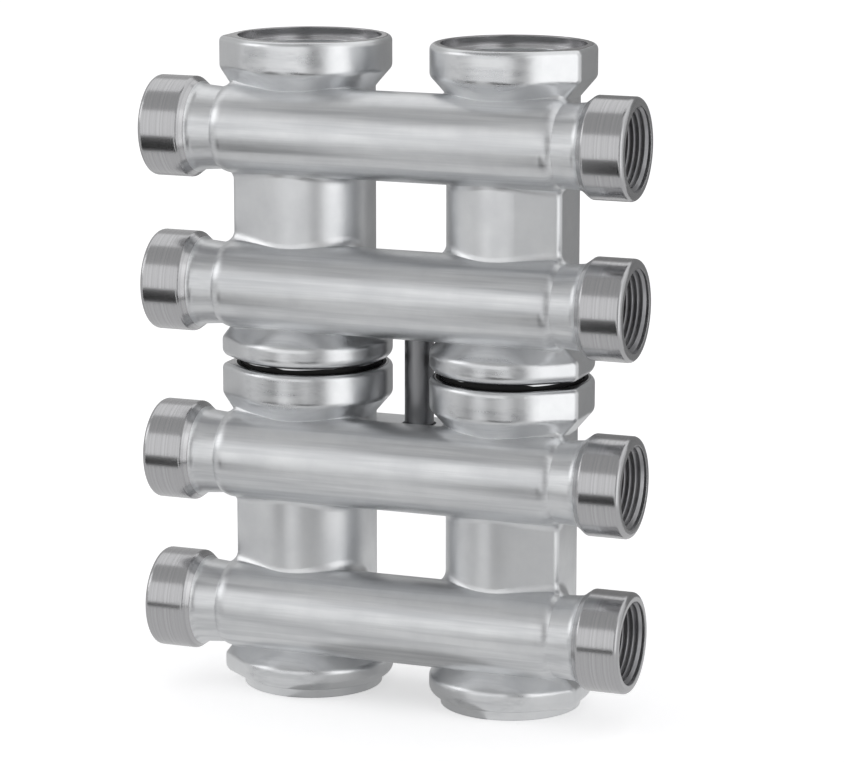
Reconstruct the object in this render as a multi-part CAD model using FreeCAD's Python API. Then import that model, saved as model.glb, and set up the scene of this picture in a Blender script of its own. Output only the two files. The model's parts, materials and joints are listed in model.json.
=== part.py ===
import FreeCAD
import Part
import math
import os

# Modular heating manifold: two like castings stand on each other. In each casting two upright
# barrels carry flow and return, and two level tubes pass in front of them as outlets.
# Sizes in millimetres. X runs along the tubes, Y goes to the back, Z is up.

# Driving dimensions of the casting.
outlet_pitch = 50.0
barrel_pitch = 69.0
tube_forward = 16.0
lower_tube_height = 28.0
top_above_tube = 29.0

barrel_diameter = 42.0
waterway_diameter = 34.0
barrel_corner_forward = 14.5
barrel_corner_round = 2.5

ring_diameter = 52.6
ring_corner_forward = 12.5
ring_corner_round = 3.0
ring_slope = 6.8
ring_root_depth = 0.5
slope_edge_round = 2.5
top_band_height = 10.0
top_edge_round = 1.8
bottom_band_height = 6.5
bottom_edge_round = 3.0

lip_diameter = 45.2
lip_height = 3.0
lip_entry = 1.2
lip_clearance = 0.4

tube_length = 161.4
tube_diameter = 28.2
tube_end_round = 7.0
neck_length = 7.2
neck_step_length = 1.9
neck_step_depth = 1.1
neck_flare = 0.6
shoulder_length = 3.3
shoulder_root_round = 3.0
shoulder_edge_round = 1.2
collar_diameter = 32.2
collar_length = 13.3
collar_edge_round = 1.6
tube_bore_diameter = 20.0
thread_diameter = 26.44
thread_depth = 14.0
drill_cone_length = 2.0
cross_port_diameter = 18.0
cast_fillet = 4.0

# Gaskets in the joints between the castings.
gasket_thickness = 2.0
gasket_edge_clearance = 0.3
gasket_bore_clearance = 0.5

# Bolt that pulls the two castings together, and the webs that it passes through.
bolt_diameter = 9.5
bolt_hole_clearance = 0.75
bolt_end_chamfer = 1.0
bolt_overhang = 3.0
hex_across_flats = 16.0
hex_corner_chamfer = 0.8
head_height = 6.4
nut_height = 8.0
nut_thread_clearance = 0.1
washer_diameter = 18.0
washer_thickness = 2.0
washer_bore_clearance = 0.4
washer_tube_clearance = 0.4
web_thickness = 8.0
web_back_margin = 10.0
upper_web_above_axis = 1.5
lower_web_below_axis = 2.0

# Sizes that follow from them.
barrel_radius = barrel_diameter / 2
waterway_radius = waterway_diameter / 2
ring_radius = ring_diameter / 2
lip_radius = lip_diameter / 2
recess_radius = lip_radius + lip_clearance
recess_depth = lip_entry + gasket_thickness
tube_radius = tube_diameter / 2
neck_root_radius = tube_radius - neck_step_depth
neck_radius = neck_root_radius + neck_flare
collar_radius = collar_diameter / 2
bolt_radius = bolt_diameter / 2
washer_radius = washer_diameter / 2

barrel_x = barrel_pitch / 2
tube_end = tube_length / 2
collar_x = tube_end - collar_length
shoulder_x = collar_x - shoulder_length
neck_root_x = shoulder_x - neck_length
upper_tube_height = lower_tube_height + outlet_pitch
tube_heights = [lower_tube_height, upper_tube_height]
casting_height = upper_tube_height + top_above_tube
module_pitch = casting_height - lip_entry
lower_web_bottom = lower_tube_height - lower_web_below_axis - web_thickness
upper_web_bottom = upper_tube_height + upper_web_above_axis
web_bottoms = [lower_web_bottom, upper_web_bottom]

# The origin lies under the middle of the whole depth, from the collars to the backs of the rings.
barrel_y = (tube_forward + collar_radius - ring_radius) / 2
tube_y = barrel_y - tube_forward
bolt_y = tube_y + tube_radius + washer_tube_clearance + washer_radius
overrun = 1.0

along_x = FreeCAD.Vector(1, 0, 0)
along_y = FreeCAD.Vector(0, 1, 0)
along_z = FreeCAD.Vector(0, 0, 1)


def upright(radius, bottom, top, x, y):
    """A round bar on the upright line through x, y."""
    return Part.makeCylinder(radius, top - bottom, FreeCAD.Vector(x, y, bottom))


def level_bar(radius, length, height):
    """A round bar of the given length on a tube's axis, centred on the object."""
    return Part.makeCylinder(radius, length, FreeCAD.Vector(-length / 2, tube_y, height), along_x)


def cornered_circle(radius, corner_forward, corner_round, z, side):
    """Outline across a barrel at height z: a circle, with a rounded corner on its outer front.

    The corner's side is straight, and its front runs on to touch the circle.
    """
    touch = 2 * math.atan(corner_forward / radius)
    round_cut = corner_round * corner_forward / radius
    round_out = radius - corner_round
    round_forward = corner_forward - round_cut

    def around(centre_out, centre_forward, reach, angle):
        out = centre_out + reach * math.cos(angle)
        forward = centre_forward + reach * math.sin(angle)
        return FreeCAD.Vector(side * (barrel_x + out), barrel_y - forward, z)

    flank = around(0, 0, radius, 0)
    front = around(0, 0, radius, touch)
    far = around(0, 0, radius, touch / 2 + math.pi)
    corner_start = around(round_out, round_forward, corner_round, 0)
    corner_middle = around(round_out, round_forward, corner_round, touch / 2)
    corner_end = around(round_out, round_forward, corner_round, touch)
    round_side = Part.Arc(front, far, flank).toShape()
    flat_side = Part.makeLine(flank, corner_start)
    corner = Part.Arc(corner_start, corner_middle, corner_end).toShape()
    flat_front = Part.makeLine(corner_end, front)
    return Part.Wire([round_side, flat_side, corner, flat_front])


def barrel_outline(z, side):
    """Outline of a plain barrel at height z."""
    return cornered_circle(barrel_radius, barrel_corner_forward, barrel_corner_round, z, side)


def ring_root(z, side):
    """Outline under the barrel's skin, where the slope of an end ring starts."""
    root_radius = barrel_radius - ring_root_depth
    return cornered_circle(root_radius, barrel_corner_forward, barrel_corner_round, z, side)


def ring_outline(z, side):
    """Outline of a barrel's end ring at height z."""
    return cornered_circle(ring_radius, ring_corner_forward, ring_corner_round, z, side)


def blended_core():
    """Straight barrels and plain tubes, with cast fillets where they run into each other."""
    core = level_bar(neck_root_radius, 2 * shoulder_x, lower_tube_height)
    core = core.fuse(level_bar(neck_root_radius, 2 * shoulder_x, upper_tube_height))
    for side in (-1, 1):
        barrel = Part.Face(barrel_outline(lip_height, side))
        core = core.fuse(barrel.extrude(along_z * (casting_height - lip_height)))
    core = core.removeSplitter()

    def on_tube(edge, height):
        points = edge.discretize(9)
        gaps = [math.hypot(p.y - tube_y, p.z - height) - neck_root_radius for p in points]
        return max(abs(gap) for gap in gaps) < 0.01

    def on_barrel(edge):
        """Neither an end circle of a tube nor a straight line along it."""
        box = edge.BoundBox
        return box.XMax < shoulder_x - overrun and box.XMin > overrun - shoulder_x and box.ZLength > 0.01

    crossings = [
        edge
        for edge in core.Edges
        if on_barrel(edge) and any(on_tube(edge, height) for height in tube_heights)
    ]
    return core.makeFillet(cast_fillet, crossings)


def end_ring(slope_end, slope_start, end, end_round, side):
    """Ring at one end of a barrel: a slope out from the barrel, then an upright band, with rounded edges."""
    slope = Part.makeLoft([ring_root(slope_end, side), ring_outline(slope_start, side)], True, True)
    band = Part.Face(ring_outline(slope_start, side)).extrude(along_z * (end - slope_start))
    ring = slope.fuse(band).removeSplitter()
    for height, rounding in ((slope_start, slope_edge_round), (end, end_round)):
        level = [edge for edge in ring.Edges if max(abs(v.Z - height) for v in edge.Vertexes) < 0.001]
        ring = ring.makeFillet(rounding, level)
    return ring


def barrel_ends(side):
    """Rings at both ends of one barrel, and the turned lip under the lower ring."""
    top_band_bottom = casting_height - top_band_height
    bottom_band_top = lip_height + bottom_band_height
    top_ring = end_ring(top_band_bottom - ring_slope, top_band_bottom, casting_height, top_edge_round, side)
    bottom_ring = end_ring(bottom_band_top + ring_slope, bottom_band_top, lip_height, bottom_edge_round, side)
    lip = upright(lip_radius, 0, lip_height + bottom_edge_round, side * barrel_x, barrel_y)
    return top_ring.fuse(bottom_ring).fuse(lip)


def rounded_face(corners):
    """Flat face within corners given as (point, rounding), with an arc in each rounded corner."""
    arcs = []
    ends = []
    for index, (corner, rounding) in enumerate(corners):
        back = (corners[index - 1][0] - corner).normalize()
        onward = (corners[(index + 1) % len(corners)][0] - corner).normalize()
        half_angle = back.getAngle(onward) / 2
        cut = rounding / math.tan(half_angle)
        start = corner + back * cut
        end = corner + onward * cut
        if rounding:
            inward = (back + onward).normalize()
            middle = corner + inward * (rounding / math.sin(half_angle) - rounding)
            arcs.append(Part.Arc(start, middle, end).toShape())
        ends.append((start, end))
    sides = [Part.makeLine(ends[index - 1][1], ends[index][0]) for index in range(len(ends))]
    return Part.Face(Part.Wire(Part.sortEdges(sides + arcs)[0]))


def turned_along_x(half, height):
    """Solid of revolution about a tube's axis, alike at both ends.

    The (x, radius, rounding) corners run from the middle out to the right end. The seam lies at the back.
    """
    end = half[-1][0]
    right = [(end, 0, 0)] + half[::-1]
    left = [(-x, radius, rounding) for x, radius, rounding in half] + [(-end, 0, 0)]
    corners = [(FreeCAD.Vector(x, tube_y + radius, height), rounding) for x, radius, rounding in right + left]
    return rounded_face(corners).revolve(FreeCAD.Vector(0, tube_y, height), along_x, 360)


def tube_skin(height):
    """Outside of one tube with its rounded steps, necks, shoulders and turned collars."""
    half = [
        (neck_root_x - neck_step_length, tube_radius, tube_end_round),
        (neck_root_x, neck_root_radius, 0),
        (shoulder_x, neck_radius, shoulder_root_round),
        (collar_x, collar_radius, shoulder_edge_round),
        (tube_end, collar_radius, collar_edge_round),
    ]
    return turned_along_x(half, height)


def tube_waterway(height):
    """Bore through one tube, opened at both ends for the pipe thread."""
    thread_x = tube_end - thread_depth
    half = [
        (thread_x - drill_cone_length, tube_bore_diameter / 2, 0),
        (thread_x, thread_diameter / 2, 0),
        (tube_end + overrun, thread_diameter / 2, 0),
    ]
    return turned_along_x(half, height)


def bolt_web(bottom):
    """Level web behind a tube, from barrel to barrel."""
    depth = bolt_y + web_back_margin - tube_y
    return Part.makeBox(barrel_pitch, depth, web_thickness, FreeCAD.Vector(-barrel_x, tube_y, bottom))


def casting():
    """One module: barrels, tubes and webs cast in one, then bored."""
    body = blended_core()
    for side in (-1, 1):
        body = body.fuse(barrel_ends(side))
    for height in tube_heights:
        body = body.fuse(tube_skin(height))
    for bottom in web_bottoms:
        body = body.fuse(bolt_web(bottom))
    body = body.removeSplitter()

    # The tubes keep their walls where they pass through the barrels' waterways.
    for side in (-1, 1):
        x = side * barrel_x
        bore = upright(waterway_radius, -overrun, casting_height + overrun, x, barrel_y)
        for height in tube_heights:
            bore = bore.cut(level_bar(tube_radius, 2 * barrel_pitch, height))
        body = body.cut(bore)
        recess_floor = casting_height - recess_depth
        body = body.cut(upright(recess_radius, recess_floor, casting_height + overrun, x, barrel_y))
    for height in tube_heights:
        body = body.cut(tube_waterway(height))

    # The upper tube opens into the left barrel, and the lower tube into the right one.
    for side, height in ((-1, upper_tube_height), (1, lower_tube_height)):
        start = FreeCAD.Vector(side * barrel_x, tube_y, height)
        body = body.cut(Part.makeCylinder(cross_port_diameter / 2, tube_forward, start, along_y))
    hole_radius = bolt_radius + bolt_hole_clearance
    for bottom in web_bottoms:
        top = bottom + web_thickness
        body = body.cut(upright(hole_radius, bottom - overrun, top + overrun, 0, bolt_y))
    return body


def flat_ring(inner, outer, bottom, height, x, y):
    """Flat ring about an upright line."""
    top = bottom + height
    return upright(outer, bottom, top, x, y).cut(upright(inner, bottom - overrun, top + overrun, x, y))


def hexagon(bottom, height):
    """Hexagon on the bolt's axis, with its corners turned off at both ends."""
    corner_radius = hex_across_flats / math.sqrt(3)
    angles = [math.radians(60 * step) for step in range(7)]
    corners = [
        FreeCAD.Vector(corner_radius * math.cos(a), bolt_y + corner_radius * math.sin(a), bottom)
        for a in angles
    ]
    prism = Part.Face(Part.makePolygon(corners)).extrude(along_z * height)
    end_radius = corner_radius - hex_corner_chamfer
    slope = hex_corner_chamfer * math.tan(math.radians(30))
    profile = [
        (0, bottom),
        (end_radius, bottom),
        (corner_radius, bottom + slope),
        (corner_radius, bottom + height - slope),
        (end_radius, bottom + height),
        (0, bottom + height),
    ]
    points = [FreeCAD.Vector(r, bolt_y, z) for r, z in profile]
    outline = Part.Face(Part.makePolygon(points + points[:1]))
    return prism.common(outline.revolve(FreeCAD.Vector(0, bolt_y, 0), along_z, 360))


lower_module = casting()
upper_module = lower_module.copy()
upper_module.translate(along_z * module_pitch)

# A gasket lies on the floor of each recess in the lower casting's top.
gasket_bottom = casting_height - recess_depth
gasket_outer = recess_radius - gasket_edge_clearance
gasket_inner = waterway_radius + gasket_bore_clearance


def gasket(side):
    """Ring of sheet rubber in one barrel's joint."""
    return flat_ring(gasket_inner, gasket_outer, gasket_bottom, gasket_thickness, side * barrel_x, barrel_y)


def washer(bottom):
    """Washer on the bolt."""
    return flat_ring(bolt_radius + washer_bore_clearance, washer_radius, bottom, washer_thickness, 0, bolt_y)


# The bolt's head bears on the upper casting's lower web, and its nut pulls on the lower casting's upper web.
upper_washer_bottom = module_pitch + lower_web_bottom + web_thickness
lower_washer_bottom = upper_web_bottom - washer_thickness
head_bottom = upper_washer_bottom + washer_thickness
nut_bottom = lower_washer_bottom - nut_height
bolt_bottom = nut_bottom - bolt_overhang
bolt_end = FreeCAD.Vector(0, bolt_y, bolt_bottom)
shank = upright(bolt_radius, bolt_bottom + bolt_end_chamfer, head_bottom, 0, bolt_y)
shank = shank.fuse(Part.makeCone(bolt_radius - bolt_end_chamfer, bolt_radius, bolt_end_chamfer, bolt_end))
nut_hole_radius = bolt_radius + nut_thread_clearance
nut_hole = upright(nut_hole_radius, nut_bottom - overrun, lower_washer_bottom + overrun, 0, bolt_y)

nodes = {
    "lower_module": lower_module,
    "upper_module": upper_module,
    "left_gasket": gasket(-1),
    "right_gasket": gasket(1),
    "tie_bolt": shank.fuse(hexagon(head_bottom, head_height)).removeSplitter(),
    "upper_washer": washer(upper_washer_bottom),
    "lower_washer": washer(lower_washer_bottom),
    "tie_nut": hexagon(nut_bottom, nut_height).cut(nut_hole),
}

os.makedirs("parts", exist_ok=True)
for name, shape in nodes.items():
    shape.exportStep("parts/" + name + ".step")
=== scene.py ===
import json
import math
import bpy
import numpy as np
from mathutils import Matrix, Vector


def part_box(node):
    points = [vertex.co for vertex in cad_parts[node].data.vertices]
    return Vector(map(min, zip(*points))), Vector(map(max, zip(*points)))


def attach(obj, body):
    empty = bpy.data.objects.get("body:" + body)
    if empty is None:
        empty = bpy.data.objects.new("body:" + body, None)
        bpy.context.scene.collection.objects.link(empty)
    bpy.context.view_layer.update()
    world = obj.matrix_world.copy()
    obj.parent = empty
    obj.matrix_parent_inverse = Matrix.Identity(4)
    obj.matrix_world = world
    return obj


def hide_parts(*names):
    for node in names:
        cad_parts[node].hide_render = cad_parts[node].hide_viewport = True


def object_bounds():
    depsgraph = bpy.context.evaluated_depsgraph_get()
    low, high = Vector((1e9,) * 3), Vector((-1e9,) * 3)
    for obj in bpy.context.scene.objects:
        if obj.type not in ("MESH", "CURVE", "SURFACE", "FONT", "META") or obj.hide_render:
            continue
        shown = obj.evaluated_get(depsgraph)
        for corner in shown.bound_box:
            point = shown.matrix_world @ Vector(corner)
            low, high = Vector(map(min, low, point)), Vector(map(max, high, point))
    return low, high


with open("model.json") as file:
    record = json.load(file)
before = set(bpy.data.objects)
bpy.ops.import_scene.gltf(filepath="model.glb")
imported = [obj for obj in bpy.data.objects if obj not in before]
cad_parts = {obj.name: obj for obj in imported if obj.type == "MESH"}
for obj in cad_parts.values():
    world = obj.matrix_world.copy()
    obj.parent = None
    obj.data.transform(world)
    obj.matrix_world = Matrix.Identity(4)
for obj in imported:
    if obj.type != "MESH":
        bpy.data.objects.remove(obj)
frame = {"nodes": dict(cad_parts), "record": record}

cad_low, cad_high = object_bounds()
mm = 0.001


# The castings: each is poured in one piece, blasted to an even satin and nickel plated. The tubes are
# polished lengthwise in front, with darker streaks there that are polish marks and painted reflection,
# and the end rings rubbed. The tube ends, the rings' top faces and the recesses in them are turned
# bright. Shade is painted black into the slot where the castings join.
mounts = {mount["name"]: mount for mount in frame["record"]["mounts"]}
top_recess = mounts["right_top_recess"]
barrel_x, barrel_y = top_recess["pos_m"][:2]
recess_radius = top_recess["dims"]["r_mm"] * mm
recess_depth = top_recess["dims"]["length_mm"] * mm
recess_margin = 0.1 * mm
tube_end, tube_y = mounts["bottom_tube_right_port"]["pos_m"][:2]
turned_length = 15.5 * mm
collar_start = tube_end - turned_length
turned_edge = 0.2 * mm
rim_low = 0.15 * mm
rim_high = 0.05 * mm
ring_zone = 14.5 * mm
ring_fade = 3.0 * mm
ring_share = 0.3
streak_back = tube_y - 5.5 * mm
streak_front = tube_y - 7.5 * mm
# The next five place the black painted shade in the slot between the castings.
joint_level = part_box("lower_module")[1].z
joint_bottom = joint_level - 0.1 * mm
joint_reach = recess_radius + 1.3 * mm
shade_low = joint_level + 1.1 * mm
shade_high = joint_level + 1.8 * mm
blasted_pale = (0.78, 0.79, 0.80, 1)
blasted_dark = (0.70, 0.71, 0.725, 1)
# Darker tone of the lengthwise streaks: polish marks and painted reflection.
painted_streak_dark = (0.56, 0.57, 0.585, 1)
turned_pale = (0.53, 0.53, 0.54, 1)
turned_dark = (0.47, 0.47, 0.48, 1)
# Black of the shade painted into the slot where the castings join.
painted_shade_black = (0.03, 0.03, 0.03, 1)
blasted_rough = (0.38, 0.33)
turned_rough = (0.21, 0.18)
streak_rough = 0.29
shade_rough = 0.6
cloud_noise = {"Scale": 95.0, "Detail": 4.0, "Roughness": 0.55}
cloud_range = (0.3, 0.7)
pit_noise = {"Scale": 1500.0, "Detail": 3.0, "Roughness": 0.6}
pit_share = 0.35
swell_noise = {"Scale": 210.0, "Detail": 2.0, "Roughness": 0.5}
feed_noise = {"noise_dimensions": "1D", "Scale": 9000.0, "Detail": 2.0}
feed_share = 0.03
broad_noise = {"noise_dimensions": "1D", "Scale": 1100.0, "Detail": 3.0}
broad_range = (0.3, 0.7)
polish_stretch = (13.0, 340.0, 340.0)
polish_noise = {"Scale": 1.0, "Detail": 3.0, "Roughness": 0.6}
polish_range = (0.42, 0.72)
spread_noise = {"Scale": 90.0, "Detail": 1.0}
spread_range = (0.4, 0.6)
casting_bump = {"strength": 0.25, "depth": 0.12 * mm, "edge_round": 0.5 * mm}
edge_samples = 4
mix_sockets = {"FLOAT": (2, 3, 0), "RGBA": (6, 7, 2)}


def add_node(tree, kind, **settings):
    """A node of that kind with its settings. A setting that names an input sets the socket's value."""
    node = tree.nodes.new(kind)
    for key, value in settings.items():
        if key in node.inputs:
            node.inputs[key].default_value = value
        else:
            setattr(node, key, value)
    return node


def feed_socket(tree, socket, value):
    """Links another socket to this one, or sets this one to a plain value."""
    if isinstance(value, bpy.types.NodeSocket):
        tree.links.new(value, socket)
    else:
        socket.default_value = value


def math_step(tree, operation, *values):
    """One sum on values, each a socket or a number."""
    node = add_node(tree, "ShaderNodeMath", operation=operation)
    for socket, value in zip(node.inputs, values):
        feed_socket(tree, socket, value)
    return node.outputs[0]


def ramp_between(tree, value, low, high, to_low=0.0, to_high=1.0):
    """The value carried from low..high to to_low..to_high, held at both ends."""
    node = add_node(tree, "ShaderNodeMapRange", clamp=True)
    sockets = {"Value": value, "From Min": low, "From Max": high, "To Min": to_low, "To Max": to_high}
    for name, setting in sockets.items():
        feed_socket(tree, node.inputs[name], setting)
    return node.outputs["Result"]


def blend(tree, kind, share, first, second):
    """First where share is 0, second where it is 1, and in between first + share * (second - first)."""
    node = add_node(tree, "ShaderNodeMix", data_type=kind)
    first_socket, second_socket, result = mix_sockets[kind]
    feed_socket(tree, node.inputs["Factor"], share)
    feed_socket(tree, node.inputs[first_socket], first)
    feed_socket(tree, node.inputs[second_socket], second)
    return node.outputs[result]


def blend_colours(tree, share, first, second):
    """Colour that goes from first to second with share."""
    return blend(tree, "RGBA", share, first, second)


def blend_values(tree, share, first, second):
    """Value that goes from first to second with share."""
    return blend(tree, "FLOAT", share, first, second)


def object_place(tree):
    """Place on the object, in metres."""
    return add_node(tree, "ShaderNodeTexCoord").outputs["Object"]


def stretched_place(tree, place, scale):
    """Place with each axis scaled, which draws a noise out along the axis of the least scale."""
    node = add_node(tree, "ShaderNodeMapping", Scale=scale)
    tree.links.new(place, node.inputs["Vector"])
    return node.outputs["Vector"]


def add_noise(tree, place, settings):
    """Noise read at a place: a vector, or a length where the noise has one dimension."""
    node = add_node(tree, "ShaderNodeTexNoise", **settings)
    tree.links.new(place, node.inputs["W" if node.noise_dimensions == "1D" else "Vector"])
    return node.outputs["Fac"]


def new_group(name, place_name, place_kind, outputs):
    """Empty shader group that reads one place and puts out values, its place and its output node."""
    group = bpy.data.node_groups.new(name, "ShaderNodeTree")
    group.interface.new_socket(place_name, in_out="INPUT", socket_type=place_kind)
    for output in outputs:
        group.interface.new_socket(output, in_out="OUTPUT", socket_type="NodeSocketFloat")
    place = group.nodes.new("NodeGroupInput").outputs[place_name]
    return group, place, group.nodes.new("NodeGroupOutput")


def place_group(tree, group, place):
    """The group, put into a material and read at a place."""
    node = add_node(tree, "ShaderNodeGroup", node_tree=group)
    tree.links.new(place, node.inputs[0])
    return node


# Blasted skin: a cloudy tone some millimetres across, over a fine pitted grain.
blasted_skin, place, skin_out = new_group("blasted_skin", "Position", "NodeSocketVector", ["Cloud", "Height"])
cloud = ramp_between(blasted_skin, add_noise(blasted_skin, place, cloud_noise), *cloud_range)
pits = math_step(blasted_skin, "MULTIPLY", add_noise(blasted_skin, place, pit_noise), pit_share)
swell = add_noise(blasted_skin, place, swell_noise)
blasted_skin.links.new(cloud, skin_out.inputs["Cloud"])
blasted_skin.links.new(math_step(blasted_skin, "ADD", pits, swell), skin_out.inputs["Height"])

# Turning marks: rings left by the tool's feed, of uneven depth, the same all the way round.
turning_marks, place, marks_out = new_group("turning_marks", "Along", "NodeSocketFloat", ["Tone", "Height"])
broad = ramp_between(turning_marks, add_noise(turning_marks, place, broad_noise), *broad_range)
turning_marks.links.new(broad, marks_out.inputs["Tone"])
turning_marks.links.new(add_noise(turning_marks, place, feed_noise), marks_out.inputs["Height"])


def new_finish(name, metallic):
    """New material, its node tree and its shader."""
    material = bpy.data.materials.new(name)
    material.use_nodes = True
    shader = material.node_tree.nodes["Principled BSDF"]
    shader.inputs["Metallic"].default_value = metallic
    return material, material.node_tree, shader


def finish_with_bump(tree, shader, height, strength, depth, edge_round):
    """Feeds a height to the shader's normal, over edges rounded off by edge_round."""
    rounded = add_node(tree, "ShaderNodeBevel", samples=edge_samples, Radius=edge_round)
    bump = add_node(tree, "ShaderNodeBump", Strength=strength, Distance=depth)
    tree.links.new(height, bump.inputs["Height"])
    tree.links.new(rounded.outputs["Normal"], bump.inputs["Normal"])
    tree.links.new(bump.outputs["Normal"], shader.inputs["Normal"])


def dress(node_name, material):
    """Gives a node of the frame its one material."""
    slots = frame["nodes"][node_name].data.materials
    slots.clear()
    slots.append(material)


def casting_finish(name, base, top):
    """Finish of one casting that stands from base to top.

    It is blasted all over, streaked by polishing in front of streak_back and rubbed near both ends of the
    barrels; the streaks' darker tone is also painted reflection. It is turned from collar_start outwards,
    on the rings' top faces, and inside the recess circle about each barrel's axis. Black painted shade
    covers it from joint_bottom to an uneven edge, as far out as joint_reach.
    """
    material, tree, shader = new_finish(name, 1.0)
    place = object_place(tree)
    parts = add_node(tree, "ShaderNodeSeparateXYZ")
    tree.links.new(place, parts.inputs[0])
    x, y, z = parts.outputs
    across = math_step(tree, "ABSOLUTE", x)
    off_x = math_step(tree, "SUBTRACT", across, barrel_x)
    off_y = math_step(tree, "SUBTRACT", y, barrel_y)
    square_x = math_step(tree, "MULTIPLY", off_x, off_x)
    square_y = math_step(tree, "MULTIPLY", off_y, off_y)
    from_axis = math_step(tree, "SQRT", math_step(tree, "ADD", square_x, square_y))

    collar = ramp_between(tree, across, collar_start, collar_start + turned_edge)
    recess_low = top - recess_depth - recess_margin
    recess = ramp_between(tree, z, recess_low - turned_edge, recess_low)
    inside = math_step(tree, "LESS_THAN", from_axis, recess_radius + turned_edge)
    recess = math_step(tree, "MULTIPLY", recess, inside)
    rim = ramp_between(tree, z, top - rim_low, top - rim_high)
    ring_turned = math_step(tree, "MAXIMUM", recess, rim)
    turned = math_step(tree, "MAXIMUM", collar, ring_turned)
    ring_low = top - ring_zone
    ring_high = base + ring_zone
    upper_ring = ramp_between(tree, z, ring_low, ring_low + ring_fade, 0, ring_share)
    lower_ring = ramp_between(tree, z, ring_high - ring_fade, ring_high, ring_share, 0)
    rubbed = math_step(tree, "MAXIMUM", upper_ring, lower_ring)
    bright_share = math_step(tree, "MAXIMUM", turned, rubbed)

    skin = place_group(tree, blasted_skin, place)
    ring_along = math_step(tree, "ADD", from_axis, z)
    marks = place_group(tree, turning_marks, blend_values(tree, ring_turned, across, ring_along))
    # Lengthwise streaks on the fronts of the tubes: smoother there, and darker in colour as polish marks and
    # painted reflection.
    polish = add_noise(tree, stretched_place(tree, place, polish_stretch), polish_noise)
    in_front = ramp_between(tree, y, streak_front, streak_back, 1, 0)
    streaks = math_step(tree, "MULTIPLY", ramp_between(tree, polish, *polish_range), in_front)
    # Painted shade: black in the slot where the castings join, up to an uneven edge.
    spread = add_noise(tree, place, spread_noise)
    shade_top = ramp_between(tree, spread, *spread_range, shade_low, shade_high)
    above = math_step(tree, "GREATER_THAN", z, joint_bottom)
    below = math_step(tree, "LESS_THAN", z, shade_top)
    within = math_step(tree, "LESS_THAN", from_axis, joint_reach)
    slot_shade = math_step(tree, "MULTIPLY", math_step(tree, "MULTIPLY", above, below), within)

    blasted = blend_colours(tree, skin.outputs["Cloud"], blasted_dark, blasted_pale)
    blasted = blend_colours(tree, streaks, blasted, painted_streak_dark)
    bright = blend_colours(tree, marks.outputs["Tone"], turned_dark, turned_pale)
    plated = blend_colours(tree, turned, blasted, bright)
    tree.links.new(blend_colours(tree, slot_shade, plated, painted_shade_black), shader.inputs["Base Color"])

    satin = blend_values(tree, skin.outputs["Cloud"], *blasted_rough)
    satin = blend_values(tree, streaks, satin, streak_rough)
    gloss = blend_values(tree, marks.outputs["Tone"], *turned_rough)
    plated_rough = blend_values(tree, bright_share, satin, gloss)
    tree.links.new(blend_values(tree, slot_shade, plated_rough, shade_rough), shader.inputs["Roughness"])

    marks_height = math_step(tree, "MULTIPLY", marks.outputs["Height"], feed_share)
    height = blend_values(tree, turned, skin.outputs["Height"], marks_height)
    finish_with_bump(tree, shader, height, **casting_bump)
    return material


for node_name in ("lower_module", "upper_module"):
    low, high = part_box(node_name)
    dress(node_name, casting_finish("plated_" + node_name, low.z, high.z))


# The outlet threads: inside pipe threads cut with a tap into the turned collars, which leaves the metal
# bare there. Each starts a little inside its mouth and runs out before the drilled cone of its socket.
thread_pitch = 1.814 * mm
thread_height = 1.162 * mm
thread_seat = 0.15 * mm
thread_lead_in = 1.0 * mm
thread_run_out = 1.2 * mm
steps_per_turn = 72
thread_smooth = 40
ridge_along = np.array([-0.49, -0.40, -0.14, -0.05, 0.05, 0.14, 0.40, 0.49, 0.49, -0.49]) * thread_pitch
ridge_rise = np.array([0.0, 0.08, 0.9, 1.0, 1.0, 0.9, 0.08, 0.0, 0.0, 0.0]) * thread_height
ridge_sink = np.array([0, 0, 0, 0, 0, 0, 0, 0, 1, 1]) * thread_seat
cut_metal = (0.42, 0.42, 0.43, 1)
cut_metal_dark = (0.25, 0.25, 0.26, 1)
cut_rough = (0.45, 0.3)
cut_bump = {"strength": 0.2, "depth": 0.05 * mm, "edge_round": 0.1 * mm}


def mesh_piece(name, points, faces, material, smooth_angle):
    """Object at the origin from points and faces, shaded smooth below smooth_angle degrees."""
    mesh = bpy.data.meshes.new(name)
    mesh.from_pydata(points.tolist(), [], faces)
    mesh.polygons.foreach_set("use_smooth", np.ones(len(mesh.polygons), bool))
    mesh.set_sharp_from_angle(angle=math.radians(smooth_angle))
    mesh.materials.append(material)
    piece = bpy.data.objects.new(name, mesh)
    bpy.context.scene.collection.objects.link(piece)
    return piece


def grid_faces(rows, columns, closed=True):
    """Four-cornered faces of a grid, which may close on itself across its columns."""
    row = np.arange(rows - 1)[:, None] * columns
    column = np.arange(columns if closed else columns - 1)[None, :]
    beside = (column + 1) % columns
    corners = [row + column, row + beside, row + columns + beside, row + columns + column]
    return np.stack(corners, axis=-1).reshape(-1, 4).tolist()


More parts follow.
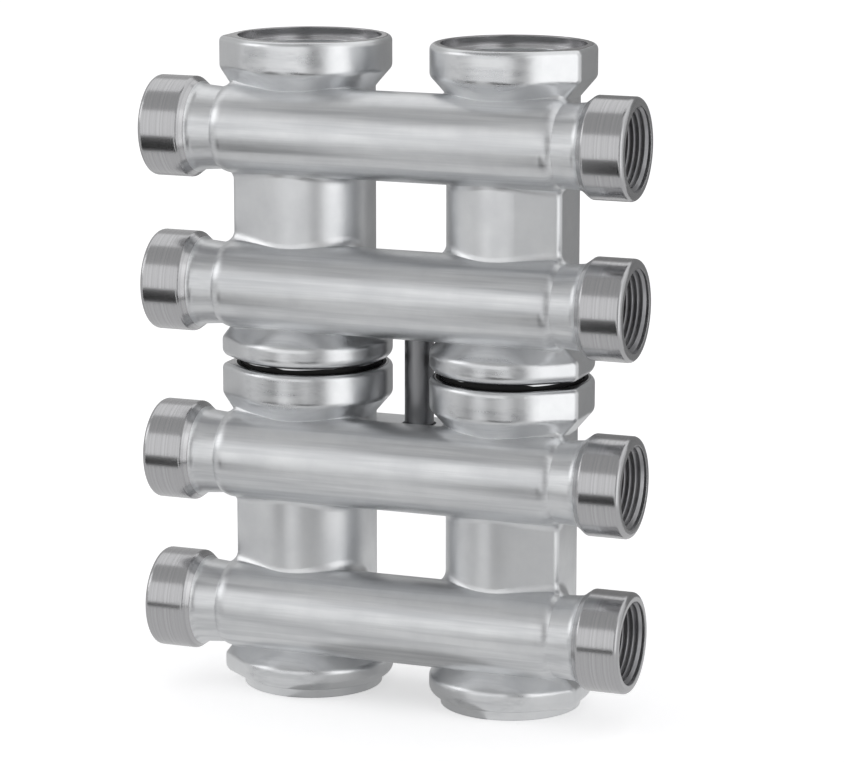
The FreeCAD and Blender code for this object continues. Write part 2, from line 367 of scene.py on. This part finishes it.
def thread_ridge(mouth, axis_sign, radius, depth):
    """Points and faces of a ridge wound inside a socket.

    A rounded V profile is carried along a right-hand helix about the X line through mouth: at angle a
    the ridge's middle lies at x0 + pitch * a / full turn. Profile points lie at radius minus their
    height. Height grows from nothing over the first half turn and fades over the last.
    """
    turns = (depth - thread_lead_in - thread_run_out) / thread_pitch
    angle = np.linspace(0, 2 * np.pi * turns, int(turns * steps_per_turn) + 1)
    grow = np.clip(np.minimum(angle, angle[-1] - angle) / np.pi, 0, 1)
    reach = radius - ridge_rise[None, :] * grow[:, None] + ridge_sink[None, :]
    inner_x = mouth[0] - axis_sign * (depth - thread_run_out)
    outer_x = mouth[0] - axis_sign * thread_lead_in
    middle = min(inner_x, outer_x) + thread_pitch * angle / (2 * np.pi)
    x = middle[:, None] + ridge_along[None, :]
    y = mouth[1] + reach * np.cos(angle)[:, None]
    z = mouth[2] + reach * np.sin(angle)[:, None]
    points = np.stack([x, y, z], axis=-1).reshape(-1, 3)
    columns = len(ridge_along)
    last = (len(angle) - 1) * columns
    ends = [list(range(columns))[::-1], list(range(last, last + columns))]
    return points, grid_faces(len(angle), columns) + ends


thread_finish, tree, shader = new_finish("tapped_thread", 1.0)
skin = place_group(tree, blasted_skin, object_place(tree))
tone = blend_colours(tree, skin.outputs["Cloud"], cut_metal_dark, cut_metal)
tree.links.new(tone, shader.inputs["Base Color"])
tree.links.new(blend_values(tree, skin.outputs["Cloud"], *cut_rough), shader.inputs["Roughness"])
finish_with_bump(tree, shader, skin.outputs["Height"], **cut_bump)

for mount in mounts.values():
    if mount["kind"] != "threaded_hole":
        continue
    radius = mount["dims"]["r_mm"] * mm
    depth = mount["dims"]["length_mm"] * mm
    points, faces = thread_ridge(mount["pos_m"], mount["axis"][0], radius, depth)
    thread = mesh_piece(mount["name"].replace("port", "thread"), points, faces, thread_finish, thread_smooth)
    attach(thread, "root")


# The gaskets: flat rings stamped from black sheet rubber. One lies in each top recess of the lower
# casting, pinched by the lip of the upper one.
rubber_black = (0.018, 0.018, 0.019, 1)
rubber_bloom = (0.05, 0.05, 0.052, 1)
rubber_rough = (0.55, 0.8)
bloom_noise = {"Scale": 420.0, "Detail": 5.0, "Roughness": 0.65}
bloom_range = (0.42, 0.72)
rubber_bump = {"strength": 0.3, "depth": 0.1 * mm, "edge_round": 0.2 * mm}

rubber_finish, tree, shader = new_finish("gasket_sheet", 0.0)
bloom = add_noise(tree, object_place(tree), bloom_noise)
dust = ramp_between(tree, bloom, *bloom_range)
tree.links.new(blend_colours(tree, dust, rubber_black, rubber_bloom), shader.inputs["Base Color"])
tree.links.new(blend_values(tree, dust, *rubber_rough), shader.inputs["Roughness"])
finish_with_bump(tree, shader, bloom, **rubber_bump)
for node_name in ("left_gasket", "right_gasket"):
    dress(node_name, rubber_finish)


# The tie bolt with its nut and washers: plain steel, blackened and oiled. The bolt is forged with
# a hexagon head and rolled with a thread at its lower end only, so its shank shows smooth.
bolt_low, bolt_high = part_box("tie_bolt")
bolt_y = (bolt_low.y + bolt_high.y) / 2
bolt_radius = 4.75 * mm
bolt_columns = 120
bolt_smooth = 28
shank_rows = 6
head_flats = bolt_high.y - bolt_low.y
head_height = 6.4 * mm
head_corner_cut = 0.8 * mm
head_cut_slope = math.tan(math.radians(30))
head_cut_rows = 5
bolt_thread_pitch = 1.5 * mm
bolt_thread_depth = 0.85 * mm
bolt_thread_length = 22.0 * mm
bolt_thread_fade = 2 * bolt_thread_pitch
rows_per_pitch = 10
flank_slope = 2.5
bolt_end_cut = 1.0 * mm
black_steel = (0.29, 0.292, 0.30, 1)
rubbed_steel = (0.36, 0.36, 0.373, 1)
steel_rough = (0.42, 0.36)
rub_stretch = (1.0, 1.0, 0.12)
rub_noise = {"Scale": 160.0, "Detail": 6.0, "Roughness": 0.6}
rub_range = (0.35, 0.75)
steel_bump = {"strength": 0.1, "depth": 0.04 * mm, "edge_round": 0.2 * mm}


def bolt_surface(columns):
    """Points and faces of the bolt as radius over height and angle about its upright axis.

    The shank has an even radius. In the threaded length a V of even pitch is taken off it, whose phase
    turns once with the angle, fading out at the top. A cone takes off the lower end. The head's radius is
    half the flats over the cosine of the angle to the nearest flat, and cones take off its corners.
    """
    angle = 2 * np.pi * np.arange(columns) / columns
    bottom, top = bolt_low.z, bolt_high.z
    head_bottom = top - head_height
    thread_top = bottom + bolt_thread_length
    threaded = np.arange(bottom, thread_top, bolt_thread_pitch / rows_per_pitch)
    z = np.concatenate([threaded, np.linspace(thread_top, head_bottom, shank_rows)])[:, None]
    phase = (z / bolt_thread_pitch - angle[None, :] / (2 * np.pi)) % 1
    crest = np.clip(flank_slope * (0.5 - np.abs(phase - 0.5)), 0, 1)
    fade = np.clip((thread_top - z) / bolt_thread_fade, 0, 1)
    shank = bolt_radius - bolt_thread_depth * (1 - crest) * fade
    shank = np.minimum(shank, bolt_radius - bolt_end_cut + (z - bottom))

    to_flat = angle % (np.pi / 3) - np.pi / 6
    hexagon = head_flats / 2 / np.cos(to_flat)
    corner = head_flats / math.sqrt(3)
    cut = head_corner_cut * head_cut_slope
    lower_cut = np.linspace(0, cut, head_cut_rows)
    upper_cut = np.linspace(head_height - cut, head_height, head_cut_rows)
    rise = np.concatenate([lower_cut, upper_cut])[:, None]
    from_end = np.minimum(rise, head_height - rise)
    cone = corner - head_corner_cut + from_end / head_cut_slope
    head = np.minimum(hexagon[None, :], cone)

    reach = np.concatenate([shank, head])
    height = np.concatenate([z, head_bottom + rise]) + np.zeros_like(reach)
    points = np.stack([reach * np.cos(angle), bolt_y + reach * np.sin(angle), height], axis=-1)
    poles = np.array([[0, bolt_y, bottom], [0, bolt_y, top]])
    points = np.concatenate([points.reshape(-1, 3), poles])
    rows = len(reach)
    column = np.arange(columns)
    beside = (column + 1) % columns
    start_pole = np.full(columns, rows * columns)
    last_row = (rows - 1) * columns
    under = np.stack([start_pole, beside, column], axis=-1).tolist()
    over = np.stack([start_pole + 1, last_row + column, last_row + beside], axis=-1).tolist()
    return points, grid_faces(rows, columns) + under + over


steel_finish, tree, shader = new_finish("blackened_steel", 1.0)
rub = add_noise(tree, stretched_place(tree, object_place(tree), rub_stretch), rub_noise)
worn = ramp_between(tree, rub, *rub_range)
tree.links.new(blend_colours(tree, worn, black_steel, rubbed_steel), shader.inputs["Base Color"])
tree.links.new(blend_values(tree, worn, *steel_rough), shader.inputs["Roughness"])
finish_with_bump(tree, shader, rub, **steel_bump)

points, faces = bolt_surface(bolt_columns)
bolt = mesh_piece("threaded_tie_bolt", points, faces, steel_finish, bolt_smooth)
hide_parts("tie_bolt")
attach(bolt, "root")
for node_name in ("upper_washer", "lower_washer", "tie_nut"):
    dress(node_name, steel_finish)


# The floor: a wide sheet of white paper that the manifold stands on. It glows a little where it is
# looked at, so that it runs into the white behind it and keeps the manifold's shadow.
floor_half = 6.0
floor_level = -0.1 * mm
floor_white = (0.86, 0.86, 0.86, 1)
floor_lift = 0.46
sheet_smooth = 30


def looked_at(tree):
    """Mask of the rays that show a thing, straight or in metal or glass, not of those that only light."""
    ray = add_node(tree, "ShaderNodeLightPath")
    mirrored = math_step(tree, "MAXIMUM", ray.outputs["Is Glossy Ray"], ray.outputs["Is Transmission Ray"])
    return math_step(tree, "MAXIMUM", ray.outputs["Is Camera Ray"], mirrored)


floor_finish = bpy.data.materials.new("white_floor")
floor_finish.use_nodes = True
tree = floor_finish.node_tree
tree.nodes.clear()
paper = add_node(tree, "ShaderNodeBsdfDiffuse", Color=floor_white)
glow = add_node(tree, "ShaderNodeEmission")
tree.links.new(math_step(tree, "MULTIPLY", looked_at(tree), floor_lift), glow.inputs["Strength"])
both = add_node(tree, "ShaderNodeAddShader")
tree.links.new(paper.outputs[0], both.inputs[0])
tree.links.new(glow.outputs[0], both.inputs[1])
tree.links.new(both.outputs[0], add_node(tree, "ShaderNodeOutputMaterial").inputs["Surface"])
floor_corners = floor_half * np.array([[-1, -1, 0], [1, -1, 0], [1, 1, 0], [-1, 1, 0]]) + [0, 0, floor_level]
floor = mesh_piece("floor", floor_corners, [[0, 1, 2, 3]], floor_finish, sheet_smooth)
floor.visible_glossy = False


# The camera: a long lens, to the right of the front and a little above. Slide and raise move it square
# to the way that it looks.
view_right = math.radians(21.27)
view_above = math.radians(11.72)
view_distance = 1130.5 * mm
view_target = Vector((0, 0, (cad_low.z + cad_high.z) / 2))
frame_slide = -4.62 * mm
frame_raise = -3.0 * mm
lens_pixels = 3533.3
image_width = 844
toward = Vector((
    math.sin(view_right) * math.cos(view_above),
    -math.cos(view_right) * math.cos(view_above),
    math.sin(view_above),
))
right = Vector((math.cos(view_right), math.sin(view_right), 0))
up = toward.cross(right)
camera_data = bpy.data.cameras.new("camera")
camera_data.lens = lens_pixels / image_width * camera_data.sensor_width
camera = bpy.data.objects.new("camera", camera_data)
camera.location = view_target + toward * view_distance - right * frame_slide + up * frame_raise
camera.rotation_euler = (-toward).to_track_quat("-Z", "Y").to_euler()
bpy.context.scene.collection.objects.link(camera)
bpy.context.scene.camera = camera


# The light: a white tent all round, with an upright soft box on the right of the camera and one on
# the left. Grey sheets hung in the tent and laid on the table, and black strips on the table, give
# the metal something to mirror.
tent_white = (1, 1, 1, 1)
tent_shade = (0.72, 0.72, 0.73, 1)
tent_radius = 1600 * mm
tent_middle = np.array(view_target)
toward_level = np.array([toward.x, toward.y, 0]) / math.hypot(toward.x, toward.y)
sheet_step = 4.0
table_rows = 3

world = bpy.data.worlds.new("tent")
world.use_nodes = True
bpy.context.scene.world = world
tree = world.node_tree
tree.nodes.clear()
background = add_node(tree, "ShaderNodeBackground", Strength=1.0)
tree.links.new(blend_colours(tree, looked_at(tree), tent_shade, tent_white), background.inputs["Color"])
tree.links.new(background.outputs[0], add_node(tree, "ShaderNodeOutputWorld").inputs["Surface"])


def tent_direction(turn, climb):
    """Unit directions that lie turn degrees to the right of the camera's side and climb degrees up."""
    turn, climb = np.radians(turn)[..., None], np.radians(climb)[..., None]
    level = toward_level * np.cos(turn) + np.array(right) * np.sin(turn)
    return level * np.cos(climb) + np.array([0, 0, 1]) * np.sin(climb)


def angles_across(limits):
    """Even angles from one limit to the other, less than sheet_step degrees apart."""
    return np.linspace(*limits, int((limits[1] - limits[0]) / sheet_step) + 2)


def add_sheet(name, points, grey):
    """Sheet of paper of one grey on a grid of points, which shows in the metal alone."""
    paper = bpy.data.materials.new(name)
    paper.use_nodes = True
    tree = paper.node_tree
    tree.nodes.clear()
    shine = add_node(tree, "ShaderNodeEmission", Color=(grey, grey, grey, 1), Strength=1.0)
    tree.links.new(shine.outputs[0], add_node(tree, "ShaderNodeOutputMaterial").inputs["Surface"])
    faces = grid_faces(*points.shape[:2], closed=False)
    sheet = mesh_piece(name, points.reshape(-1, 3), faces, paper, sheet_smooth)
    sheet.visible_camera = False
    sheet.visible_diffuse = False
    sheet.visible_shadow = False


# Each hung sheet: the turns and the climbs between which it hangs on the tent's round, and its grey.
hung_sheets = {
    "front_post": ((-2, 20), (-40, 40), 0.36),
    "right_sheet": ((62, 106), (-45, 40), 0.74),
    "right_back_sheet": ((108, 180), (-45, 40), 0.28),
    "left_back_sheet": ((-180, -108), (-45, 40), 0.52),
    "left_sheet": ((-106, -62), (-45, 10), 0.66),
    "upper_sheet": ((-110, 25), (36, 78), 0.48),
    "top_sheet": ((-180, 180), (78, 90), 0.26),
}
for name, (turns, climbs, grey) in hung_sheets.items():
    turn, climb = np.meshgrid(angles_across(turns), angles_across(climbs))
    add_sheet(name, tent_middle + tent_radius * tent_direction(turn, climb), grey)

# Each sheet on the table: its turns, how far out it lies, and its grey.
table_sheets = {
    # shade_under and near_table are painted shade: they stand in, in the metal only, for the table near the
    # manifold, dimmed by its shadow and darkest right under it.
    "shade_under": ((-180, 180), (1 * mm, 40 * mm), 0.38),
    "near_table": ((-180, 180), (40 * mm, 260 * mm), 0.70),
}
for name, (turns, reach, grey) in table_sheets.items():
    out, turn = np.meshgrid(np.linspace(*reach, table_rows), angles_across(turns), indexing="ij")
    points = out[..., None] * tent_direction(turn, np.zeros_like(turn)) + [0, 0, floor_level]
    add_sheet(name, points, grey)

# Each black strip on the table: the length of the tubes that it lies before, and the turn in which
# it runs away from them. The turned collars mirror it as a dark band.
strip_reach = (150 * mm, 600 * mm)
strip_black = 0.03
strip_level = 0.3 * mm
black_strips = {
    "right_strip": ((34 * mm, 180 * mm), -39.2),
    "left_strip": ((-180 * mm, -42 * mm), -46.3),
}
for name, (tube_length, turn) in black_strips.items():
    out, start = np.meshgrid(np.linspace(*strip_reach, table_rows), np.array(tube_length), indexing="ij")
    points = out[..., None] * tent_direction(np.array(turn), np.array(0.0))
    points = points + start[..., None] * [1, 0, 0] + [0, tube_y, strip_level]
    add_sheet(name, points, strip_black)

# Each soft box: where it stands, its width and height in metres, and its brightness beside white.
box_distance = 0.95 * tent_radius
soft_boxes = {
    "right_box": ((42, 5), (0.80, 1.9), 0.38),
    "left_box": ((-88, 28), (0.80, 1.0), 0.65),
}
for name, ((turn, climb), (width, height), brightness) in soft_boxes.items():
    place = tent_middle + box_distance * tent_direction(np.array(turn), np.array(climb))
    lamp = bpy.data.lights.new(name, "AREA")
    lamp.shape = "RECTANGLE"
    lamp.size = width
    lamp.size_y = height
    lamp.energy = brightness * math.pi * width * height
    box = bpy.data.objects.new(name, lamp)
    box.location = place
    box.rotation_euler = Vector(place - tent_middle).to_track_quat("Z", "Y").to_euler()
    box.visible_camera = False
    bpy.context.scene.collection.objects.link(box)

bpy.context.scene.view_settings.view_transform = "Standard"
